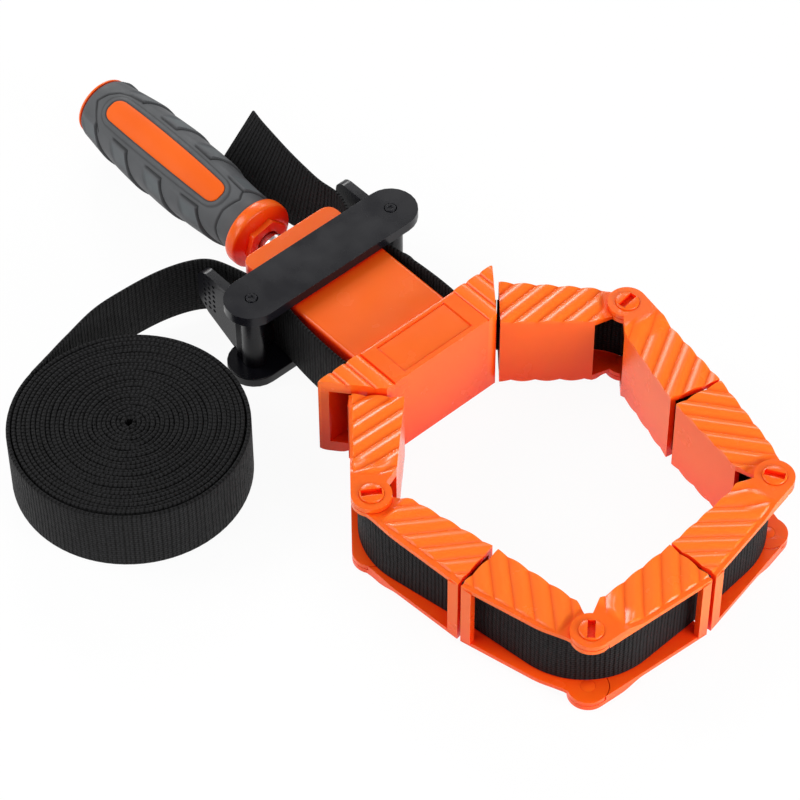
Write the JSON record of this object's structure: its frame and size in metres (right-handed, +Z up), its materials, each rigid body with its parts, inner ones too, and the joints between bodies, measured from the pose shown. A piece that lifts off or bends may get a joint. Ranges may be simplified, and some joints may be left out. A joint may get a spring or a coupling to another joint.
{
  "type": "ratchet band clamp",
  "caption": "Band clamp with hinged corner jaws on a webbing strap, a mitred head, a screw-driven yoke with cam levers and a grip handle; slack strap coiled.",
  "frame": {"origin": "middle of the flat underside of the clamping head, on the surface that the clamp lies on", "axes": "+X to the right across the yoke, +Y from the head back along the screw to the handle, +Z up"},
  "size_m": [0.2031, 0.3122, 0.0355],
  "materials": {
    "orange_plastic": "satin moulded orange plastic",
    "black_plastic": "moulded black plastic",
    "grey_rubber": "soft grey overmould with a scale pattern",
    "steel": "zinc plated steel",
    "strap_webbing": "woven black polyester webbing"
  },
  "bodies": {
    "head": {"head_block": "orange_plastic", "spindle_nut": "steel", "strap_head_right": "strap_webbing", "strap_head_left": "strap_webbing"},
    "yoke": {"slider_block": "orange_plastic", "yoke_top_plate": "black_plastic", "yoke_bottom_plate": "black_plastic", "lever_pin_right": "steel", "lever_pin_left": "steel", "strap_run_right": "strap_webbing", "strap_run_left": "strap_webbing", "strap_lead": "strap_webbing", "strap_tail": "strap_webbing", "strap_coil": "strap_webbing", "thrust_washer": "steel"},
    "lever_right": {"cam_lever_right": "black_plastic"},
    "lever_left": {"cam_lever_left": "black_plastic"},
    "handle": {"spindle": "steel", "handle_core": "orange_plastic", "handle_grip": "grey_rubber", "handle_pin": "steel", "retaining_ring": "steel"},
    "rear_right_tongue": {"rear_right_tongue_arm": "orange_plastic", "strap_rear_right": "strap_webbing"},
    "rear_right_fork": {"rear_right_fork_arm": "orange_plastic", "rear_right_top_pin": "orange_plastic", "rear_right_bottom_pin": "orange_plastic"},
    "front_right_tongue": {"front_right_tongue_arm": "orange_plastic", "strap_front_right": "strap_webbing"},
    "front_right_fork": {"front_right_fork_arm": "orange_plastic", "front_right_top_pin": "orange_plastic", "front_right_bottom_pin": "orange_plastic"},
    "rear_left_fork": {"rear_left_fork_arm": "orange_plastic", "strap_rear_left": "strap_webbing"},
    "rear_left_tongue": {"rear_left_tongue_arm": "orange_plastic", "rear_left_top_pin": "orange_plastic", "rear_left_bottom_pin": "orange_plastic"},
    "front_left_tongue": {"front_left_tongue_arm": "orange_plastic", "strap_front_left": "strap_webbing"},
    "front_left_fork": {"front_left_fork_arm": "orange_plastic", "front_left_top_pin": "orange_plastic", "front_left_bottom_pin": "orange_plastic"}
  },
  "joints": [
    {"name": "yoke_slide", "type": "slide", "parent": "head", "child": "yoke", "axis": [0, 1, 0], "range_m": [0, 0.022], "deforming": ["strap_run_right", "strap_run_left"]},
    {"name": "handle_spin", "type": "hinge", "parent": "yoke", "child": "handle", "pos_m": [0, 0.1, 0.0176], "axis": [0, -1, 0], "range_deg": [0, 3168]},
    {"name": "lever_right_hinge", "type": "hinge", "parent": "yoke", "child": "lever_right", "pos_m": [0.03185, 0.05255, 0.0176], "axis": [0, 0, -1], "range_deg": [0, 60]},
    {"name": "lever_left_hinge", "type": "hinge", "parent": "yoke", "child": "lever_left", "pos_m": [-0.03185, 0.05255, 0.0176], "axis": [0, 0, 1], "range_deg": [0, 60]},
    {"name": "rear_right_strap_bend", "type": "hinge", "parent": "head", "child": "rear_right_tongue", "pos_m": [0.0326, -0.00105, 0.0176], "axis": [0, 0, 1], "range_deg": [0, 10]},
    {"name": "rear_right_knuckle", "type": "hinge", "parent": "rear_right_tongue", "child": "rear_right_fork", "pos_m": [0.06251, -0.03415, 0.0176], "axis": [0, 0, 1], "range_deg": [0, 60], "deforming": ["strap_rear_right"]},
    {"name": "front_right_strap_bend", "type": "hinge", "parent": "rear_right_fork", "child": "front_right_tongue", "pos_m": [0.05542, -0.0782, 0.0176], "axis": [0, 0, 1], "range_deg": [0, 5]},
    {"name": "front_right_knuckle", "type": "hinge", "parent": "front_right_tongue", "child": "front_right_fork", "pos_m": [0.04396, -0.12132, 0.0176], "axis": [0, 0, 1], "range_deg": [0, 60], "deforming": ["strap_front_right"]},
    {"name": "rear_left_strap_bend", "type": "hinge", "parent": "head", "child": "rear_left_fork", "pos_m": [-0.02974, -0.00453, 0.0176], "axis": [0, 0, -1], "range_deg": [0, 10]},
    {"name": "rear_left_knuckle", "type": "hinge", "parent": "rear_left_fork", "child": "rear_left_tongue", "pos_m": [-0.05837, -0.03875, 0.0176], "axis": [0, 0, -1], "range_deg": [0, 55], "deforming": ["strap_rear_left"]},
    {"name": "front_left_strap_bend", "type": "hinge", "parent": "rear_left_tongue", "child": "front_left_tongue", "pos_m": [-0.05538, -0.08327, 0.0176], "axis": [0, 0, -1], "range_deg": [0, 5]},
    {"name": "front_left_knuckle", "type": "hinge", "parent": "front_left_tongue", "child": "front_left_fork", "pos_m": [-0.04414, -0.12645, 0.0176], "axis": [0, 0, -1], "range_deg": [0, 60], "deforming": ["strap_front_left"]}
  ],
  "couplings": [
    {"joint": "handle_spin", "follows": "yoke_slide", "rad_per_m": 2513.3}
  ]
}
